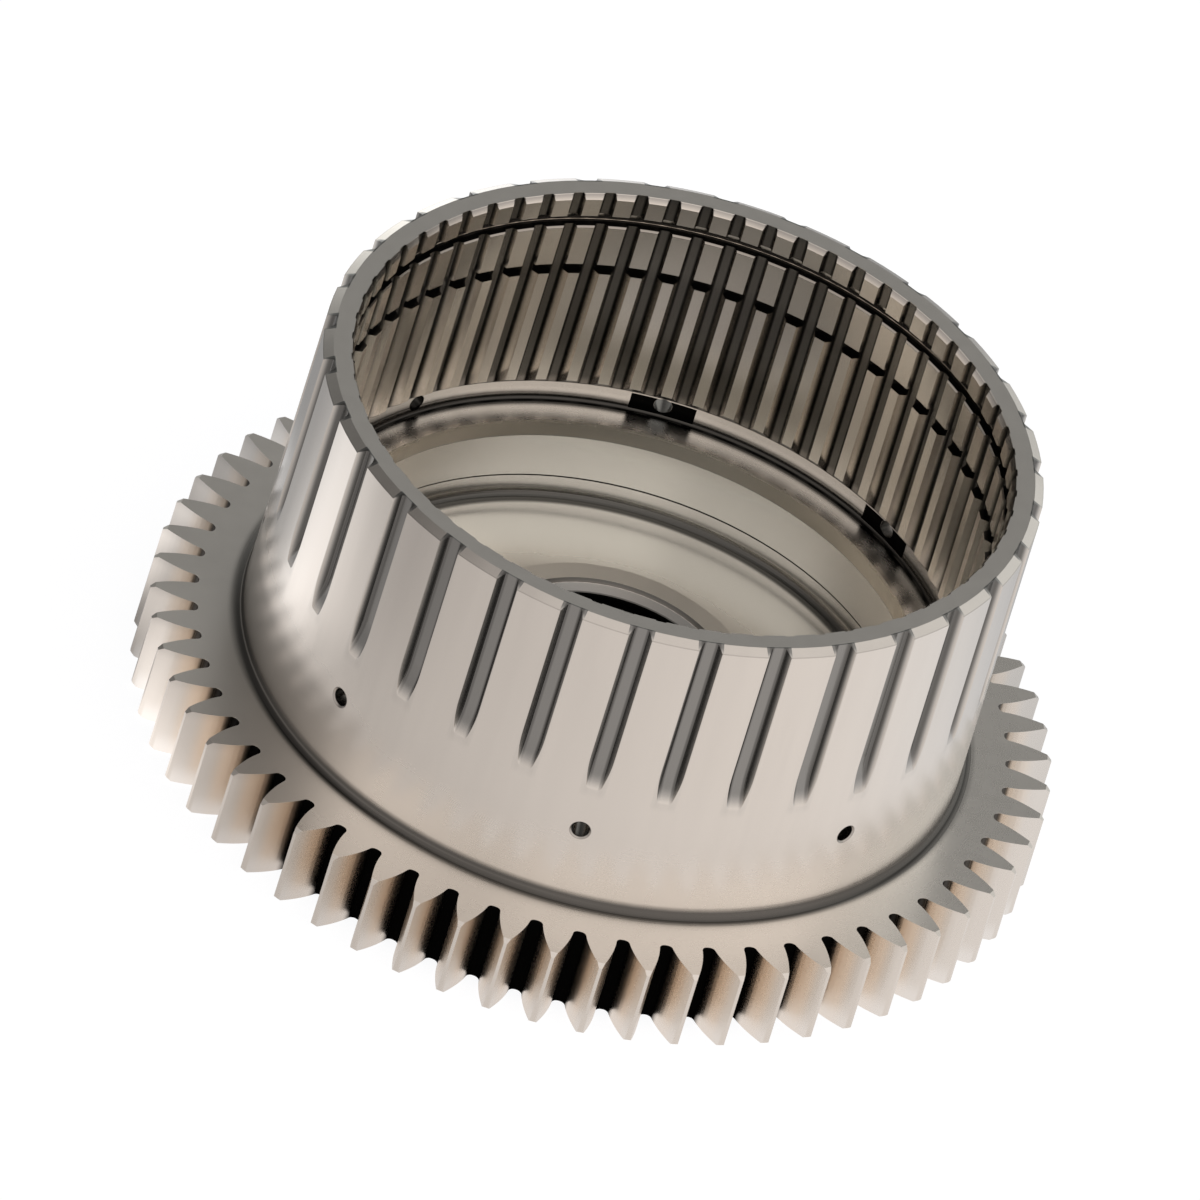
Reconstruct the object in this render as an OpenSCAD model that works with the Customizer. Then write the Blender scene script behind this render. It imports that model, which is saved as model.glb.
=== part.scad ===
// Transmission gear: a spur gear and a clutch drum turned and cut from one forging.
// The axis is Z. The gear's lower face lies on z = 0, and the drum opens upwards.

/* [Gear teeth] */
// Number of teeth
gear_teeth = 59; // [57:1:66]
// Module, pitch diameter over number of teeth
gear_module = 3.5; // [3.4:0.05:4]
// Pressure angle of the teeth
gear_angle = 17.5; // [16:0.5:19]
// Height of a tooth above its pitch circle
gear_addendum = 6.35; // [5.5:0.05:6.6]
// Depth of a tooth below its pitch circle
gear_dedendum = 5.05; // [4.6:0.05:5.6]
// Thickness added to each tooth at the pitch circle
gear_thicken = 0.3; // [0:0.05:0.5]
// Radius in the corners of the tooth root
gear_root_round = 1.5; // [0.6:0.1:1.5]
// Width of the gear's face
gear_face = 21.5; // [19:0.5:30]
// Bevel at the ends of the tooth tips, along the radius
tip_bevel_w = 1.1; // [0.4:0.1:2]
// Bevel at the ends of the tooth tips, along the axis
tip_bevel_h = 0.9; // [0.4:0.1:2]

/* [Drum] */
// Thickness of the drum's wall outside the spline spaces
drum_wall = 6.6; // [5.5:0.05:7.9]
// Height of the drum's rim above the gear
drum_h = 81.8; // [79:0.1:95]
// Fillet where the drum meets the gear
foot_round = 2.5; // [1:0.1:3]
// Outer bevel of the rim, along the radius
rim_bevel_w = 2.3; // [1:0.1:3]
// Outer bevel of the rim, along the axis
rim_bevel_h = 1.25; // [0.6:0.05:3]
// Angle from the X axis to the first oil hole, flute and spline tooth
drum_turn = 3.87; // [0:0.01:11]

/* [Flutes] */
// Number of flutes round the drum
flute_n = 32; // [16:1:36]
// Depth of a flute
flute_depth = 2.3; // [1:0.1:3]
// Half width of a flute's floor
flute_floor = 2; // [1:0.05:2.5]
// Radius in the corners of a flute's floor
flute_round = 0.8; // [0.3:0.1:0.9]
// Slope of a flute's flanks from the radius
flute_angle = 27; // [5:1:40]
// Height above the gear at which a flute starts to run out
flute_foot = 43.2; // [40:0.1:60]
// Radius of the disc cutter that leaves the run-out
flute_cutter_r = 20.5; // [15:0.5:28]

/* [Spline] */
// Number of internal spline teeth
spline_teeth = 64; // [60:1:65]
// Module of the spline
spline_module = 2.5; // [2.4:0.01:2.53]
// Slope of the spline flanks
spline_angle = 29; // [20:1:35]
// Thickness added to each spline tooth at the pitch circle
spline_thicken = 0.4; // [0:0.05:0.6]
// Depth of the spline spaces beyond the pitch circle
spline_root = 1.05; // [0.8:0.05:1.2]
// Height of the full teeth inside the pitch circle
spline_tip = 1.35; // [0.8:0.05:1.6]
// Height of the bored-out teeth inside the pitch circle
bored_tip = 0.05; // [0:0.05:0.5]
// Slope of the full teeth's lower ends from the gear's plane
end_slope = 45; // [40:1:50]
// Height of the full teeth above the plain band
full_teeth_h = 35.5; // [25:0.5:36]
// Width of the groove between the full and the bored-out teeth
step_groove_w = 1.8; // [1:0.1:3]
// Depth of that groove beyond the pitch circle
step_groove_d = 0.4; // [0.2:0.05:0.6]
// Length of the bored-out teeth below the retaining ring groove
bored_teeth_h = 11.8; // [8:0.1:12]
// Bevel on top of these teeth, along the radius
bored_bevel_w = 0.4; // [0.2:0.05:0.6]
// Bevel on top of these teeth, along the axis
bored_bevel_h = 0.6; // [0.2:0.05:1]
// Width of the retaining ring groove
ring_groove_w = 3.05; // [2:0.05:3.5]
// Depth of the retaining ring groove beyond the pitch circle
ring_groove_d = 2.7; // [2:0.1:3]
// Inner bevel of the rim, along the radius
mouth_bevel_w = 0.8; // [0.4:0.05:0.9]
// Inner bevel of the rim, along the axis
mouth_bevel_h = 1.45; // [0.6:0.05:2]

/* [Oil holes] */
// Number of oil holes through the drum wall
oil_n = 8; // [4:1:12]
// Diameter of an oil hole
oil_d = 4.3; // [2:0.1:4.6]
// Bevel at the outer mouth of an oil hole
oil_bevel = 0.4; // [0.2:0.05:0.6]
// Height of the oil holes above the shoulder
oil_h = 2.95; // [2.5:0.05:3.2]
// Which oil holes open in a pocket
pocket_holes = [1, 2, 5, 6]; // [0:1:7]
// Depth of a pocket in the plain band
pocket_d = 0.3; // [0.2:0.1:2]
// Width of a pocket in spline pitches
pocket_pitches = 2; // [1:1:3]
// Distance of a pocket from the upper edge of the plain band
pocket_edge = 0.35; // [0.1:0.05:0.6]
// Distance of a pocket from the shoulder
pocket_foot = 0.65; // [0.3:0.05:0.8]

/* [Web and hub] */
// Height of the shoulder inside the drum above the gear
shoulder_h = 18.1; // [14:0.1:20]
// Height of the plain band between shoulder and spline
band_h = 5.15; // [5:0.05:7]
// Clearance of the plain band beyond the spline spaces
band_clear = 0.2; // [0.1:0.05:0.6]
// Fillet between shoulder and plain band
shoulder_round = 1.7; // [0.6:0.1:2]
// Radius of the piston bore
piston_r = 72.2; // [66:0.1:74]
// Lead-in bevel of the piston bore, along the radius
lead_w = 0.95; // [0.5:0.05:2]
// Lead-in bevel of the piston bore, along the axis
lead_h = 4.05; // [1:0.05:6]
// Clearance cut at the foot of the piston bore
relief_d = 0.25; // [0.1:0.05:0.5]
// Height of that clearance above the floor
relief_h = 5.75; // [4:0.05:8]
// Fillet at the floor
floor_round = 2.2; // [1:0.1:3]
// Depth of the floor below the gear's upper face
floor_d = 3.85; // [2:0.05:6]
// Outer radius of the hub
hub_r = 36.1; // [35:0.1:42]
// Height of the hub above the floor
hub_h = 9.45; // [4:0.05:14]
// Fillet at the foot of the hub
hub_round = 1.2; // [0.4:0.1:2]
// Bevel at the hub's outer edge
hub_bevel = 0.4; // [0.2:0.1:1]
// Radius of the hub's bore
bore_r = 29.5; // [24:0.1:31]
// Bevel at both ends of the bore
bore_bevel = 0.8; // [0.4:0.1:1.5]
// Distance from the hub's top to the ring groove in the bore
bore_groove_at = 3.8; // [2.5:0.1:6]
// Width of the ring groove in the bore
bore_groove_w = 3; // [1.5:0.1:4]
// Depth of the ring groove in the bore
bore_groove_d = 2.3; // [1:0.1:3]

/* [Underside] */
// Depth of the turned recess under the web
under_d = 7; // [2:0.5:9]
// Inner radius of the recess
under_in_r = 41; // [38:0.5:55]
// Outer radius of the recess
under_out_r = 85; // [72:0.5:86]
// Fillet in the recess
under_round = 2.5; // [1:0.1:4]

/* [Hidden] */
$fn = 192;
steel = [0.66, 0.62, 0.58];
// Small extra length that carries a cut clear of the metal
over = 1;

// Radii of the gear
pitch_r = gear_teeth * gear_module / 2;
base_r = pitch_r * cos(gear_angle);
tip_r = pitch_r + gear_addendum;
root_r = pitch_r - gear_dedendum;
// Half of the angle that a tooth takes on the base circle
base_half = 90 / gear_teeth + deg(gear_thicken / 2 / pitch_r) + involute(pitch_r);

// Radii of the spline
spline_r = spline_teeth * spline_module / 2;
space_r = spline_r + spline_root;
full_r = spline_r - spline_tip;
bored_r = spline_r - bored_tip;
band_r = space_r + band_clear;
drum_r = space_r + drum_wall;
spline_pitch = 360 / spline_teeth;

// Heights, from the gear's lower face up
rim_z = gear_face + drum_h;
floor_z = gear_face - floor_d;
hub_z = floor_z + hub_h;
shoulder_z = gear_face + shoulder_h;
spline_z = shoulder_z + band_h;
full_z = spline_z + (band_r - full_r) * tan(end_slope);
step_z = spline_z + full_teeth_h;
bored_z = step_z + step_groove_w;
ring_z = bored_z + bored_teeth_h;
lead_z = ring_z + ring_groove_w;
oil_z = shoulder_z + oil_h;
bore_groove_z = hub_z - bore_groove_at;
flute_r = drum_r - flute_depth;

// Radians to degrees
function deg(a) = a * 180 / PI;

// Angle that an involute from the base circle has turned when it reaches radius r
function involute(r) =
    let (t = sqrt(max(pow(r / base_r, 2) - 1, 0)))
    deg(t) - atan(t);

// Half of the angle of a tooth space at radius r
function space_half(r) = 180 / gear_teeth - base_half + involute(r);

function polar(r, a) = [r * cos(a), r * sin(a)];

// Points on an arc round c
function arc(c, r, from, to, steps) =
    [for (i = [0 : steps]) c + polar(r, from + (to - from) * i / steps)];

function mirrored(points) =
    [for (i = [len(points) - 1 : -1 : 0]) [points[i].x, -points[i].y]];

// One flank of a tooth space from outside the tip circle down to the middle of the root
function flank() =
    let (
        round = min(gear_root_round, base_r * sin(space_half(base_r))),
        foot_r = root_r + round,
        side = foot_r * sin(space_half(foot_r)),
        steps = 8
    )
    concat(
        [polar(tip_r + over, space_half(tip_r))],
        [for (i = [0 : steps - 1])
            let (r = tip_r + (foot_r - tip_r) * i / steps)
            polar(r, space_half(r))],
        arc([foot_r, side - round], round, 90, 180, 6)
    );

// The space between two gear teeth, as the cutter takes it away
module tooth_space() {
    linear_extrude(gear_face + 2 * over)
        polygon(concat(flank(), mirrored(flank())));
}

// Section of the whole forging, right of the axis
function section() = concat(
    // underside, from the bore outwards
    [[bore_r, bore_bevel], [bore_r + bore_bevel, 0], [under_in_r, 0]],
    arc([under_in_r + under_round, under_d - under_round], under_round, 180, 90, 6),
    arc([under_out_r - under_round, under_d - under_round], under_round, 90, 0, 6),
    [[under_out_r, 0]],
    // gear
    [[tip_r - tip_bevel_w, 0], [tip_r, tip_bevel_h],
     [tip_r, gear_face - tip_bevel_h], [tip_r - tip_bevel_w, gear_face]],
    // outside of the drum
    arc([drum_r + foot_round, gear_face + foot_round], foot_round, 270, 180, 8),
    [[drum_r, rim_z - rim_bevel_h], [drum_r - rim_bevel_w, rim_z]],
    // mouth and spline
    [[bored_r + mouth_bevel_w, rim_z], [bored_r, rim_z - mouth_bevel_h],
     [bored_r, lead_z], [spline_r + ring_groove_d, lead_z],
     [spline_r + ring_groove_d, ring_z], [bored_r + bored_bevel_w, ring_z],
     [bored_r, ring_z - bored_bevel_h], [bored_r, bored_z],
     [spline_r + step_groove_d, bored_z], [spline_r + step_groove_d, step_z],
     [full_r, step_z], [full_r, full_z], [band_r, spline_z]],
    // plain band, shoulder and piston bore
    arc([band_r - shoulder_round, shoulder_z + shoulder_round], shoulder_round, 0, -90, 6),
    [[piston_r + lead_w, shoulder_z], [piston_r, shoulder_z - lead_h],
     [piston_r, floor_z + relief_h], [piston_r + relief_d, floor_z + relief_h]],
    arc([piston_r + relief_d - floor_round, floor_z + floor_round], floor_round, 0, -90, 8),
    // hub and bore
    arc([hub_r + hub_round, floor_z + hub_round], hub_round, 270, 180, 4),
    [[hub_r, hub_z - hub_bevel], [hub_r - hub_bevel, hub_z],
     [bore_r + bore_bevel, hub_z], [bore_r, hub_z - bore_bevel],
     [bore_r, bore_groove_z], [bore_r + bore_groove_d, bore_groove_z],
     [bore_r + bore_groove_d, bore_groove_z - bore_groove_w],
     [bore_r, bore_groove_z - bore_groove_w]]
);

// One space between two internal spline teeth, from the plain band up through the rim
module spline_space() {
    foot = spline_z - band_h / 4;
    half = spline_r * sin(spline_pitch / 4) - spline_thicken / 2;
    grow = tan(spline_angle);
    inner = spline_tip + over;
    translate([0, 0, foot])
        linear_extrude(rim_z - foot + over)
            polygon([
                [spline_r - inner, half + inner * grow],
                [space_r, half - spline_root * grow],
                [space_r, -half + spline_root * grow],
                [spline_r - inner, -half - inner * grow]
            ]);
}

// Section of the flute cutter: x runs along the drum's radius from the flute's floor
function flute_side() =
    let (
        turn = 90 - flute_angle,
        top = flute_depth + over,
        corner = [flute_round, flute_floor - flute_round],
        end = corner + polar(flute_round, 180 - turn)
    )
    concat(
        [end + [top - end.x, (top - end.x) * tan(flute_angle)]],
        arc(corner, flute_round, 180 - turn, 180, 3)
    );

module flute_section() {
    polygon(concat(flute_side(), mirrored(flute_side())));
}

// A flute is straight down to its foot, and there the disc cutter leaves its own arc
module flute() {
    foot = gear_face + flute_foot;
    translate([flute_r, 0, foot])
        linear_extrude(drum_h - flute_foot + over)
            flute_section();
    translate([flute_r + flute_cutter_r, 0, foot])
        rotate([-90, 0, 0])
            rotate_extrude(angle = 90, start = 90)
                translate([flute_cutter_r, 0])
                    mirror([1, 0])
                        flute_section();
}

// A drilled hole with its outer mouth bevelled
module oil_hole() {
    reach = drum_r - full_r + 2 * over;
    translate([full_r - over, 0, oil_z])
        rotate([0, 90, 0])
            cylinder(h = reach, d = oil_d, $fn = 48);
    translate([drum_r - oil_bevel, 0, oil_z])
        rotate([0, 90, 0])
            cylinder(h = oil_bevel + over, d1 = oil_d, d2 = oil_d + 2 * (oil_bevel + over), $fn = 48);
}

// A shallow pocket round the inner mouth of an oil hole
module pocket() {
    wide = pocket_pitches * spline_pitch;
    rotate_extrude(angle = wide, start = -wide / 2)
        translate([band_r - shoulder_round, shoulder_z + pocket_foot])
            square([shoulder_round + pocket_d, band_h - pocket_edge - pocket_foot]);
}

module drum_gear() {
    color(steel)
    difference() {
        rotate_extrude() polygon(section());
        for (i = [0 : gear_teeth - 1])
            rotate([0, 0, (i + 0.5) * 360 / gear_teeth])
                translate([0, 0, -over]) tooth_space();
        rotate([0, 0, drum_turn]) {
            for (i = [0 : spline_teeth - 1])
                rotate([0, 0, (i + 0.5) * spline_pitch]) spline_space();
            for (i = [0 : flute_n - 1])
                rotate([0, 0, i * 360 / flute_n]) flute();
            for (i = [0 : oil_n - 1])
                rotate([0, 0, i * 360 / oil_n]) oil_hole();
            for (i = pocket_holes)
                rotate([0, 0, i * 360 / oil_n]) pocket();
        }
    }
}

drum_gear();
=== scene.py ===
"""Transmission gear with its clutch drum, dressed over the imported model."""

import math

import bpy
from mathutils import Matrix, Vector

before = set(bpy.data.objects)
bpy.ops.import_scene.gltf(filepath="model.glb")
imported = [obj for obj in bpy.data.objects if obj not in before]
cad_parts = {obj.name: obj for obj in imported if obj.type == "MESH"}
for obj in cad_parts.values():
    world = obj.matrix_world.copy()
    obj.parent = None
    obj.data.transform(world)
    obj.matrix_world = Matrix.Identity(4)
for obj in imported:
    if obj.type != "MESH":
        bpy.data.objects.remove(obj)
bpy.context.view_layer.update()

# Sizes of the part in millimetres, as in its source
RIM = 103.3
DRUM_R = 87.65
GEAR_R = 109.6
OIL_Z = 42.55
BAND_TOP = 44.75
STEP_Z = 80.25
RING_Z = 93.85
FLUTES = 32
OIL_HOLES = 8
SPLINES = 64
TURN = math.radians(3.87)
POCKET_TURN = TURN + math.radians(67.5)

# Places on the part in millimetres: radius from and to, height from and to,
# and how soft the edge is
ZONES = {
    "foot": (87.2, 92.0, 21.3, 25.2, 0.12),
    "front_foot_line": (89.15, 89.4, 21.3, 22.5, 0.15),
    "right_foot_line": (88.9, 89.7, 21.3, 22.8, 0.4),
    "slope_under_teeth": (78.7, 81.2, BAND_TOP, BAND_TOP + 2.6, 0.12),
    "pocket_floor": (81.38, 82.5, 40.2, BAND_TOP - 0.3, 0.06),
    "shoulder_fillet": (77.0, 81.7, 39.3, 43.0, 0.12),
    "shoulder_face": (72.8, 79.0, 39.0, 40.2, 0.3),
    "lead_in": (72.3, 74.2, 35.8, 39.5, 0.2),
    "floor_fillet": (67.5, 72.8, 17.4, 20.8, 0.12),
    "rim_bevel": (85.5, 87.6, 102.15, 103.2, 0.1),
}

# Turned rings with painted shade all the way round: a place as above,
# and the share of the light that stays
PAINTED_SHADE_RINGS = {
    "ring_groove_ledge": (80.1, 82.6, RING_Z - 0.1, RING_Z + 0.05, 0.08, 0.04),
    "ring_groove_edge": (79.9, 80.5, RING_Z - 0.7, RING_Z - 0.1, 0.1, 0.55),
    "step_groove": (78.75, 80.5, STEP_Z - 0.1, STEP_Z + 1.75, 0.1, 0.06),
    "plain_band": (81.0, 81.5, 41.5, 44.5, 0.5, 0.88),
    "shoulder_middle": (75.0, 79.0, 39.4, 39.8, 1.0, 0.86),
    "piston_relief_foot": (72.1, 72.6, 23.05, 23.58, 0.08, 0.02),
    "floor_edge": (67.0, 69.5, 17.0, 18.0, 2.0, 0.87),
    "bore_bevel": (29.54, 30.3, 26.35, 27.2, 0.05, 0.17),
    "bore_groove_edge": (28.5, 29.6, 23.3, 23.5, 0.4, 0.4),
    "bore_groove": (29.7, 32.0, 20.2, 23.4, 0.1, 0.06),
    "under_rim_bevel": (87.4, 87.8, 101.95, 102.1, 0.1, 0.8),
}

# Tones of the steel, as red, green and blue: STEEL is the metal's own tone, and the other tones
# are painted light, painted shade and painted reflection
STEEL = (0.80, 0.772, 0.736)
# Painted light: a lighter tone for the inside of the drum
INSIDE_PAINTED_LIGHT = (0.85, 0.825, 0.785)
SPLINE_BROWN = (0.83, 0.782, 0.722)
WEB = (0.785, 0.79, 0.755)
# Painted light on the left side of the web
LEFT_WEB_PAINTED_LIGHT = (0.93, 0.915, 0.87)
LEAD_IN = (0.98, 0.92, 0.83)
# Painted light on the bore wall
BORE_WALL_PAINTED_LIGHT = (1.0, 0.96, 0.9)
# Painted light on the lower outer wall and on the front of the gear face
LOW_WALL_PAINTED_LIGHT = (0.97, 0.935, 0.89)
FLUTE = (0.77, 0.775, 0.765)
# Painted reflection: a straw tone on the gear flanks
STRAW_REFLECTION = (0.90, 0.785, 0.67)
# Painted highlight at the foot of the gear teeth
TOOTH_FOOT_HIGHLIGHT = (0.95, 0.945, 0.935)
# Painted shade: the darkest tone of the steel, and plain black for deep corners
SHADE = (0.008, 0.008, 0.007)
BLACK = (0.003, 0.003, 0.003)

# Light of the studio
FLOOR_PAINT = (0.92, 0.92, 0.92)
FLOOR_WHITE = (1.0, 1.005, 1.015)
FLOOR_BEHIND = (1.0, 0.995, 1.0)
FLOOR_IN_FRONT = (1.0, 0.924, 0.87)
SKY_IN_FRONT = (1.0, 0.92, 0.86)
SKY_BEHIND = (1.0, 0.99, 0.95)
WHITE = (1.0, 1.0, 1.0)


class Value:
    """A number in a node tree, so that shader maths reads as plain Python."""

    def __init__(self, tree, socket):
        self.tree = tree
        self.socket = socket

    def math(self, operation, *others):
        node = self.tree.nodes.new("ShaderNodeMath")
        node.operation = operation
        for slot, item in zip(node.inputs, (self,) + others):
            if isinstance(item, Value):
                self.tree.links.new(item.socket, slot)
            else:
                slot.default_value = item
        return Value(self.tree, node.outputs[0])

    def __add__(self, other):
        return self.math("ADD", other)

    def __sub__(self, other):
        return self.math("SUBTRACT", other)

    def __mul__(self, other):
        return self.math("MULTIPLY", other)

    def __truediv__(self, other):
        return self.math("DIVIDE", other)

    def __rsub__(self, other):
        return self.math("MULTIPLY", -1.0) + other

    __radd__ = __add__
    __rmul__ = __mul__

    def bell(self):
        """1 where the number is 0, and falling away to 0 as it grows."""
        return (self * -1.0).math("EXPONENT")


class Recipe:
    """Adds nodes to one material or world."""

    def __init__(self, tree):
        tree.nodes.clear()
        self.tree = tree

    def node(self, kind, settings=None, values=None, out=0):
        made = self.tree.nodes.new(kind)
        for name, setting in (settings or {}).items():
            setattr(made, name, setting)
        for name, item in (values or {}).items():
            slot = made.inputs[name]
            if isinstance(item, Value):
                self.tree.links.new(item.socket, slot)
            else:
                slot.default_value = item
        return Value(self.tree, made.outputs[out])

    def split(self, vector):
        node = self.tree.nodes.new("ShaderNodeSeparateXYZ")
        self.tree.links.new(vector.socket, node.inputs[0])
        return [Value(self.tree, s) for s in node.outputs]

    def fade(self, value, start, end):
        """0 at start and 1 at end, with a soft course between."""
        return self.node(
            "ShaderNodeMapRange",
            {"interpolation_type": "SMOOTHSTEP"},
            {"Value": value, "From Min": start, "From Max": end},
        )

    def noise(self, x, y, z):
        """Soft noise over a vector of three numbers."""
        vector = self.node("ShaderNodeCombineXYZ", None, {0: x, 1: y, 2: z})
        return self.node(
            "ShaderNodeTexNoise", None, {"Vector": vector, "Scale": 1.0, "Detail": 2.0}
        )

    def tint(self, factor, low, high):
        """A colour between two colours."""
        return self.node(
            "ShaderNodeMix",
            {"data_type": "RGBA"},
            {0: factor, 6: low, 7: high},
            out=2,
        )

    def ray(self, kind):
        """1 for rays of this kind."""
        paths = self.node("ShaderNodeLightPath").socket.node
        return Value(self.tree, paths.outputs[kind])

    def emission(self, colour, strength):
        return self.node("ShaderNodeEmission", None, {"Color": colour, "Strength": strength})

    def join(self, factor, first, second):
        """A shader between two shaders."""
        return self.node("ShaderNodeMixShader", None, {0: factor, 1: first, 2: second})

    def end(self, kind, shader):
        output = self.tree.nodes.new(kind)
        self.tree.links.new(shader.socket, output.inputs["Surface"])


class Place:
    """Where a point of the steel lies on the part, in millimetres."""

    def __init__(self, r):
        self.fade = r.fade
        self.x, self.y, self.z = [
            v * 1000.0 for v in r.split(r.node("ShaderNodeTexCoord", out=3))
        ]
        self.radius = (self.x * self.x + self.y * self.y).math("SQRT")
        self.angle = self.y.math("ARCTAN2", self.x)
        # Direction from the axis, from -1 to 1
        self.right = self.x / self.radius
        self.back = self.y / self.radius
        # Parts of the steel, from 0 to 1
        self.front = r.fade(self.back, -0.2, -0.85)
        self.outer_wall = r.fade(self.radius, 87.0, 87.3)
        self.upper = r.fade(self.z, 78.0, 84.0)
        # Distance from the middle of the nearest oil hole
        aside = self.off_centre(OIL_HOLES, TURN)
        rise = self.z - OIL_Z
        self.from_hole = (aside * aside + rise * rise).math("SQRT")

    def off_centre(self, count, start):
        """Distance round the part from the nearest of a ring of features."""
        turn = (self.angle - start) * (count / math.tau)
        from_nearest = ((turn + 0.5).math("FRACT") - 0.5).math("ABSOLUTE")
        return from_nearest * (self.radius * (math.tau / count))

    def between(self, value, low, high, soft):
        """1 between two numbers, with soft ends outside them."""
        return self.fade(value, low - soft, low) * self.fade(value, high + soft, high)

    def area(self, r_low, r_high, z_low, z_high, soft):
        """1 on the surfaces between these radii and heights."""
        return self.between(self.radius, r_low, r_high, soft) * self.between(
            self.z, z_low, z_high, soft
        )

    def zone(self, name):
        """1 on a place that has a name."""
        return self.area(*ZONES[name])


def rgb(colour, share=1.0):
    return (*[min(c * share, 1.0) for c in colour], 1.0)


def keep(mask, share):
    """Paints shade under a mask: takes light away, down to this share."""
    return 1.0 - mask * (1.0 - share)


def drum_foot(p):
    """Painted shade in the fillet at the drum's foot: a dark band, with a painted light line in
    it at the left and darker painted lines in front and at the right."""
    outer_end = p.fade(p.radius, 88.6 + p.front * 0.9, 91.4 - p.front * 0.5)
    open_foot = p.fade(p.z, 23.0, 24.9).math("MAXIMUM", outer_end)
    light_line = p.between(p.z, 22.45, 22.65, 0.12) * (0.27 - p.front * 0.24)
    light_line = light_line * p.fade(p.right, 0.3, -0.3)
    light = keep(p.zone("foot"), open_foot * 0.865 + light_line + 0.135)
    light = light * keep(p.zone("front_foot_line") * p.front, 0.65)
    return light * keep(p.zone("right_foot_line") * p.fade(p.right, 0.75, 0.95), 0.5)


def left_wall(p):
    """1 on the left side of the drum's outer wall."""
    return p.fade(p.right, -0.5, -0.75) * p.outer_wall


def drum_low_end(p, left):
    """Painted shade on the lower end of the drum's wall, darker at the left."""
    share = 0.76 - p.fade(p.right, -0.87, -0.95) * 0.1
    return keep(left * p.between(p.z, 24.5, 37.5, 6.0), share)


def flute_floors(p, aside):
    """1 on the floors of the flutes round the drum."""
    in_flute = p.fade(aside, 3.2, 3.0) * p.fade(p.radius, 84.9, 85.2)
    return p.fade(DRUM_R - p.radius, -0.3, 1.6) * in_flute * p.fade(p.z, 52.0, 55.0)


def oil_holes(p):
    """Painted shade in the oil holes and round their mouths, less dark at the back of the drum,
    where light from outside is painted in.
    """
    in_hole = p.fade(p.from_hole, 2.3, 2.1) * p.between(p.radius, 81.4, 87.2, 0.2)
    mouth = p.between(p.from_hole, 2.1, 2.6, 0.1) * p.fade(p.radius, 86.8, 87.2)
    return keep(in_hole, p.fade(p.y, 20.0, 60.0) * 0.1 + 0.06) * keep(mouth, 0.6)


def gear_flank_reflection(p, in_gear):
    """1 on the flanks of the gear teeth, where a straw-toned painted reflection goes on the
    steel.
    """
    along = p.between(p.radius, 100.5, 102.5 + p.front * 2.5, 3.5)
    return in_gear * along * (p.front * 0.1 + 0.55)


def gear_roots(p, in_gear):
    """Painted shade in the spaces between the gear teeth, black in front and dim elsewhere."""
    root = p.fade(p.radius, 100.3 + p.front * 1.4, 99.0)
    return keep(in_gear * root, 0.1 - p.front * 0.1)


def spline_spaces(p):
    """Painted shade in the spaces between the spline teeth, and on the slope under the teeth."""
    aside = p.off_centre(SPLINES, TURN + math.pi / SPLINES)
    inside = p.fade(p.radius, 82.0, 81.6) * p.fade(p.z, 44.6, 45.2)
    inside = inside * p.fade(p.z, RIM, RIM - 0.2)
    inside = inside * keep(p.between(p.z, RING_Z + 0.1, RING_Z + 2.0, 0.1), 0.3)
    deep = inside * p.fade(p.radius, 79.9, 81.0) * p.fade(aside, 1.9, 1.3)
    flank_foot = inside * p.fade(p.radius, 79.4, 80.8) * p.fade(aside, 1.2, 1.5)
    low_end = p.between(p.z, 44.0, 45.5, 2.0) * 0.1
    light = keep(deep, low_end + p.upper * 0.03 + 0.18)
    light = light * keep(deep * p.between(aside, 1.0, 1.5, 0.3), 0.4)
    light = light * keep(flank_foot, 0.55)
    slope = p.between(p.z + p.radius, BAND_TOP + 81.2, BAND_TOP + 81.3, 0.1)
    return light * keep(slope * p.zone("slope_under_teeth"), 0.08)


def band_pockets(p):
    """Four shallow pockets in the plain band, each round an oil hole, kept almost black."""
    aside = p.off_centre(OIL_HOLES, TURN) * (1.0 / 81.5)
    pair = p.fade(((p.angle - POCKET_TURN) * 2.0).math("COSINE"), -0.05, 0.05)
    in_pocket = p.zone("pocket_floor") * pair * p.fade(aside, 0.0985, 0.0978)
    return keep(in_pocket * p.fade(p.from_hole, 2.16, 2.25), 0.02)


def shoulder_fillet(p):
    """Painted shade in the fillet between the plain band and the shoulder, with one painted light
    line.
    """
    down = 41.3 - p.z
    out = p.radius - 79.55
    light_line = p.between(down - out, -0.2, 0.2, 0.35) * 0.035
    lit = p.fade(p.z, 40.4, 42.4).math("MAXIMUM", p.fade(p.radius, 79.9, 78.1))
    return keep(p.zone("shoulder_fillet"), lit + light_line + 0.055)


def floor_fillet(p):
    """Painted shade in the fillet between the piston bore and the floor."""
    lit = p.fade(p.z, 18.4, 19.6).math("MAXIMUM", p.fade(p.radius, 69.8, 68.4))
    return keep(p.zone("floor_fillet"), lit * 0.87 + 0.13)


def hub_foot(p):
    """Painted shade in the fillet at the hub's foot."""
    return keep(p.between(p.radius, 36.0, 37.2, 0.6) * p.fade(p.z, 19.4, 18.0), 0.35)


def rim_bevel(p):
    """Painted shade on the outer bevel of the rim, dim at the back on the right."""
    back_right = p.fade(p.right, 0.2, 0.45) * p.fade(p.back, 0.1, 0.4)
    return keep(p.zone("rim_bevel") * back_right, 0.78)


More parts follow.
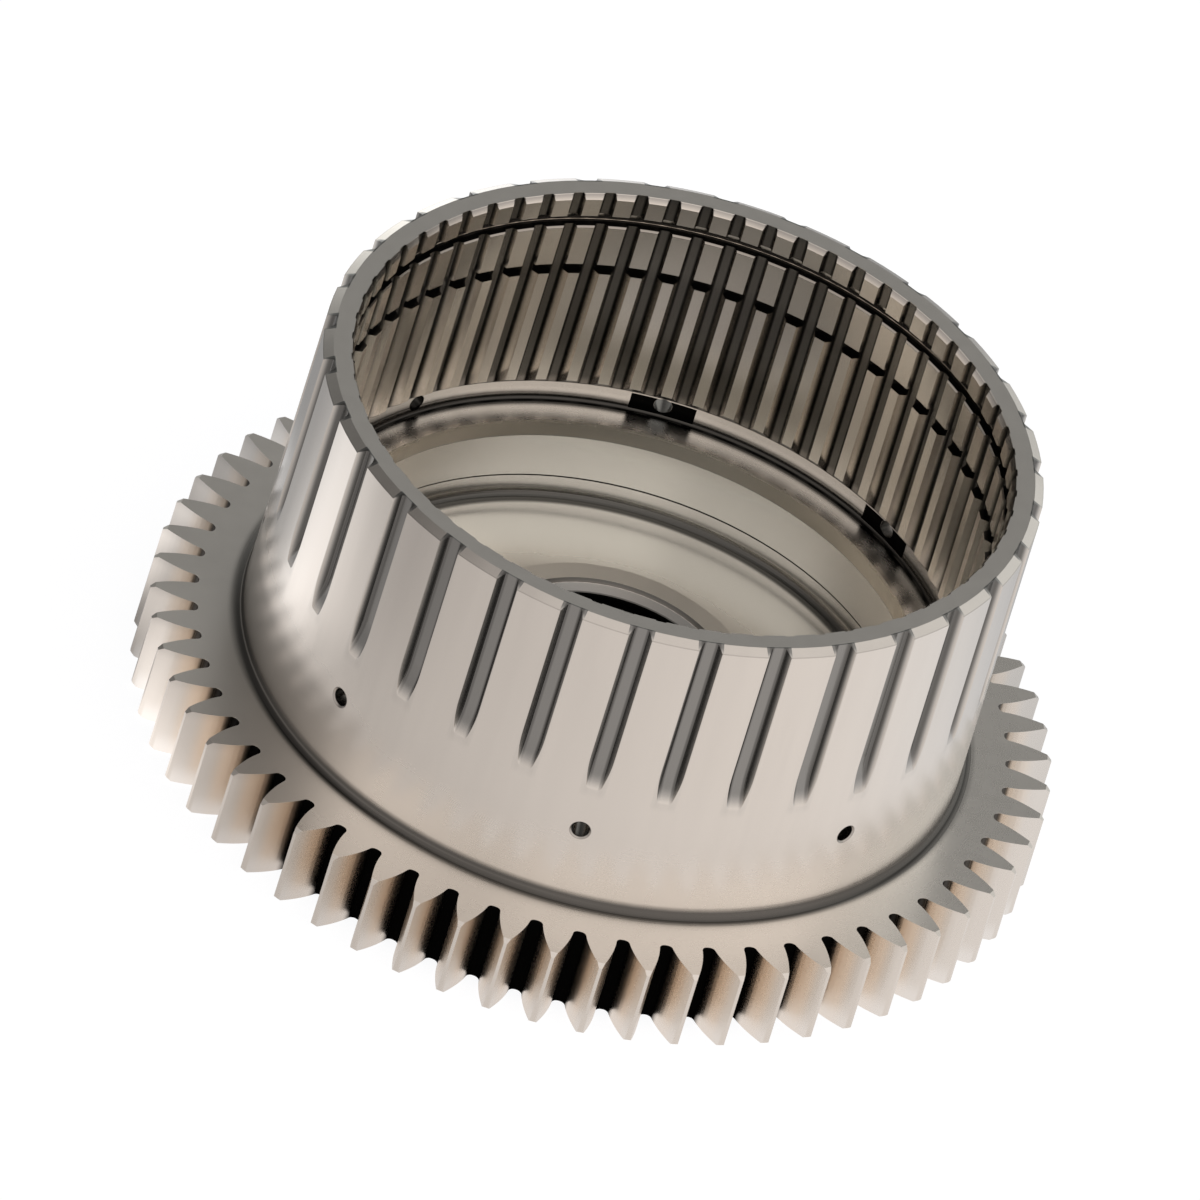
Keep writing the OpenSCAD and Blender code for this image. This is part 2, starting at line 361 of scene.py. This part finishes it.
def steel_tone(r, p, flute_floor, in_gear, flank_reflection, cloud):
    """Colour of the steel: it wavers a little, and each face gets a painted reflection or painted
    light tone.
    """
    inside_drum = p.fade(p.radius, 83.5, 83.0) * p.fade(p.z, 103.0, 101.0)
    web = p.fade(p.radius, 73.0, 71.0) * inside_drum
    left_web = web * p.fade(p.right, -0.55, -0.9) * p.fade(p.radius, 40.0, 50.0)
    lower_lands = p.fade(p.z, 58.0, 50.0) * p.fade(p.z, 45.0, 46.5)
    gear_top = p.fade(p.radius, 89.0, 90.5) * p.fade(p.z, 21.4, 21.48)
    front_left = p.fade(p.right, 0.0, -0.6) * p.fade(p.back, 0.0, -0.4)
    low_wall = p.fade(p.z, 43.0, 27.0) * p.fade(p.z, 21.7, 22.7) * p.outer_wall
    tooth_foot = in_gear * p.fade(p.z, 6.5, 1.0)
    # Painted light, painted shade and painted reflection tones, each over its place
    tones = [
        (inside_drum, rgb(INSIDE_PAINTED_LIGHT)),
        (inside_drum * p.fade(p.z, 44.0, 46.0), rgb(SPLINE_BROWN)),
        # Painted light: the spline lands are lighter on their lower and upper ends
        (inside_drum * lower_lands, rgb(SPLINE_BROWN, 1.15)),
        (inside_drum * p.upper, rgb(SPLINE_BROWN, 1.16)),
        (web, rgb(WEB)),
        (p.zone("lead_in"), rgb(LEAD_IN)),
        (gear_top * front_left, rgb(LOW_WALL_PAINTED_LIGHT)),
        (left_web * p.fade(p.z, 15.0, 17.0), rgb(LEFT_WEB_PAINTED_LIGHT)),
        (p.fade(p.radius, 30.1, 29.7) * p.fade(p.z, 22.5, 23.5), rgb(BORE_WALL_PAINTED_LIGHT)),
        (low_wall * (p.fade(p.right, 0.2, 0.7) * 0.55 + 0.45), rgb(LOW_WALL_PAINTED_LIGHT)),
        (flute_floor, rgb(FLUTE)),
        (flank_reflection, rgb(STRAW_REFLECTION)),
        (tooth_foot * p.fade(p.radius, GEAR_R - 0.4, GEAR_R - 1.0) * 0.6, rgb(TOOTH_FOOT_HIGHLIGHT)),
    ]
    tone = r.tint(cloud, rgb(STEEL, 0.96), rgb(STEEL, 1.04))
    for mask, colour in tones:
        tone = r.tint(mask, tone, colour)
    return tone


def steel_finish():
    """Turned and cut steel, with painted shade where the metal would shade itself."""
    material = bpy.data.materials.new("turned_steel")
    material.use_nodes = True
    r = Recipe(material.node_tree)
    p = Place(r)
    left = left_wall(p)
    flute = p.off_centre(FLUTES, TURN)
    flute_floor = flute_floors(p, flute)
    flute_edge = flute_floor * p.between(flute, 1.5, 2.1, 0.6)
    in_gear = p.fade(p.z, 21.48, 21.4) * p.fade(p.radius, 97.9, 98.1)

    # Painted shade: each piece of the part takes a share of light away from the base colour
    light = drum_foot(p) * drum_low_end(p, left)
    # Painted shade on the flute floors, darker at their edges
    light = light * keep(flute_floor, 0.39) * keep(flute_edge, 0.55)
    light = light * gear_roots(p, in_gear)
    for shaded in (
        oil_holes,
        spline_spaces,
        band_pockets,
        shoulder_fillet,
        floor_fillet,
        hub_foot,
        rim_bevel,
    ):
        light = light * shaded(p)
    for *place, share in PAINTED_SHADE_RINGS.values():
        light = light * keep(p.area(*place), share)

    # Tool marks run round the part, and the metal's tone wavers a little
    marks = r.noise(p.radius * 1.6, p.z * 1.6, p.angle * 1.5)
    cloud = r.noise(p.x * 0.22, p.y * 0.22, p.z * 0.02)
    tone = steel_tone(r, p, flute_floor, in_gear, gear_flank_reflection(p, in_gear), cloud)
    lower_wall = p.fade(p.z, 60.0, 35.0) * p.fade(p.radius, 86.5, 87.0)
    rough = (
        0.19
        + marks * 0.02
        + cloud * 0.03
        + p.fade(p.radius, 60.0, 40.0) * 0.12
        + lower_wall * 0.06
        + p.zone("shoulder_face") * 0.06
        + left * p.fade(p.z, 50.0, 40.0) * 0.06
    )
    # The base colour runs from the painted SHADE tone up to the steel's tone with the share of
    # light kept
    metal = r.node(
        "ShaderNodeBsdfPrincipled",
        None,
        {
            "Base Color": r.tint(light, rgb(SHADE), tone),
            "Metallic": 1.0,
            "Roughness": rough,
        },
    )
    # Deep corners get painted shade as plain black, because bare metal still shines at a low
    # angle
    black = r.node("ShaderNodeBsdfDiffuse", None, {"Color": rgb(BLACK)})
    r.end("ShaderNodeOutputMaterial", r.join(p.fade(light, 0.0, 0.12), black, metal))
    return material


def floor_glow(r, x, y):
    """Light that the steel mirrors from below, with the places where it is brighter or dimmer."""
    away = (x * x + y * y + 0.0001).math("SQRT")
    side = x / away
    back = y / away
    close = r.fade(away, 0.16, 0.135)

    def oval(x_mid, y_mid, x_half, y_half):
        """Square of the distance from a point, 1 at the oval's edge."""
        far = (x - x_mid) / x_half
        wide = (y - y_mid) / y_half
        return far * far + wide * wide

    # More light at the right and in front
    right = side.math("MAXIMUM", 0.0)
    left = (side * -1.0).math("MAXIMUM", 0.0)
    glow = side * side * 0.09 + side * 0.21 + 0.55
    glow = glow - back * (1.0 - right * 0.45) * 0.18
    glow = glow - right * back.math("MAXIMUM", 0.0) * 0.25
    gap = (back + 0.55) / 0.15
    glow = glow - left * (gap * gap).bell() * (close * 0.05 + 0.135)
    # A long bright patch at the left, and one far behind
    along = (x + 0.154) * -0.9 + (y + 0.0076) * 0.438
    across = (x + 0.154) * 0.438 + (y - close * 0.006 + 0.0076) * 0.9
    right_half = across.math("MAXIMUM", 0.0) / (0.031 - close * 0.009)
    left_half = across.math("MINIMUM", 0.0) / (0.05 - close * 0.028)
    across = right_half + left_half
    along = along / 0.12
    glow = glow + (along * along + across * across).bell() * (close * 0.15 + 0.73)
    behind = (side + 0.25) / 0.17
    far_behind = r.fade(back, 0.5, 0.9) * r.fade(away, 0.2, 0.4)
    glow = glow + (behind * behind).bell() * far_behind * 0.85
    # Beside the teeth at the left: a dim place between two bright ones
    dim = oval(-0.1135, -0.009, 0.0105, 0.029)
    by_teeth = r.fade(away, 0.134, 0.121) * 0.22 + 0.42
    glow = glow * (1.0 - (dim * dim).bell() * 0.73)
    glow = glow + oval(-0.101, -0.061, 0.02, 0.024).bell() * by_teeth
    glow = glow + oval(-0.109, 0.064, 0.011, 0.017).bell() * 0.5
    # Less light comes up through the bore
    glow = glow * (r.fade(away, 0.026, 0.036) * 0.58 + 0.42)
    hue = r.tint(r.fade(back, 0.9, -0.9), rgb(FLOOR_BEHIND), rgb(FLOOR_IN_FRONT))
    return r.emission(hue, glow)


def studio_floor():
    """A pale floor that the camera sees as white apart from a soft shadow."""
    bpy.ops.object.select_all(action="DESELECT")
    bpy.ops.mesh.primitive_circle_add(
        vertices=96, radius=1.2, fill_type="NGON", location=(0, 0, -0.0003)
    )
    floor = bpy.context.object
    floor.name = "studio_floor"
    material = bpy.data.materials.new("studio_floor")
    material.use_nodes = True
    r = Recipe(material.node_tree)
    x, y, _ = r.split(r.node("ShaderNodeTexCoord", out=3))
    paint = r.node("ShaderNodeBsdfDiffuse", None, {"Color": (*FLOOR_PAINT, 1.0)})
    white = r.emission((*FLOOR_WHITE, 1.0), 1.14)
    seen = r.join(r.ray("Is Camera Ray") * 0.8, paint, white)
    r.end(
        "ShaderNodeOutputMaterial",
        r.join(r.ray("Is Glossy Ray"), seen, floor_glow(r, x, y)),
    )
    floor.data.materials.append(material)


def studio_light():
    """Soft light from all round, with one dim side so that the steel keeps its contrast."""
    world = bpy.data.worlds.new("studio")
    bpy.context.scene.world = world
    world.use_nodes = True
    r = Recipe(world.node_tree)
    x, y, z = r.split(r.node("ShaderNodeTexCoord", out=0))
    dim = r.fade(x * -0.56 + y * 0.58 + z * 0.59, 0.58, 0.88)
    rear = ((x * -0.27 + y * 0.962 - z * 0.03 - 1.0) / 0.065).math("EXPONENT")
    over_front = r.fade(x * 0.6 - y * 0.62 + z * 0.5, 0.66, 0.80)
    glow = 0.709 - dim * 0.564 + rear + over_front * 0.2
    hue = r.tint(r.fade(y, -0.2, 0.9), rgb(SKY_IN_FRONT), rgb(SKY_BEHIND))
    sky = r.node("ShaderNodeBackground", None, {"Color": hue, "Strength": glow})
    white = r.node("ShaderNodeBackground", None, {"Color": rgb(WHITE), "Strength": 1.0})
    r.end("ShaderNodeOutputWorld", r.join(r.ray("Is Camera Ray"), sky, white))


def studio_camera():
    """The photograph's parallel view, 37 degrees above the gear and leaning 17.4 degrees."""
    up = math.radians(36.972)
    roll = math.radians(17.443)
    flat = Vector((1, 0, 0))
    rise = Vector((0, math.sin(up), math.cos(up)))
    back = Vector((0, -math.cos(up), math.sin(up)))
    right = flat * math.cos(roll) + rise * math.sin(roll)
    top = rise * math.cos(roll) - flat * math.sin(roll)
    data = bpy.data.cameras.new("camera")
    data.type = "ORTHO"
    data.ortho_scale = 0.2834
    camera = bpy.data.objects.new("camera", data)
    bpy.context.scene.collection.objects.link(camera)
    aim = Vector((-0.00593, 0.0, 0.04344))
    turn = Matrix((right, top, back)).transposed().to_4x4()
    camera.matrix_world = Matrix.Translation(aim + back * 1.0) @ turn
    data.clip_start = 0.01
    data.clip_end = 20.0
    bpy.context.scene.camera = camera


studio_camera()
studio_light()
studio_floor()
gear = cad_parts["drum_gear"]
finish = steel_finish()
for slot in gear.material_slots:
    slot.material = finish
bpy.context.scene.view_settings.view_transform = "Standard"
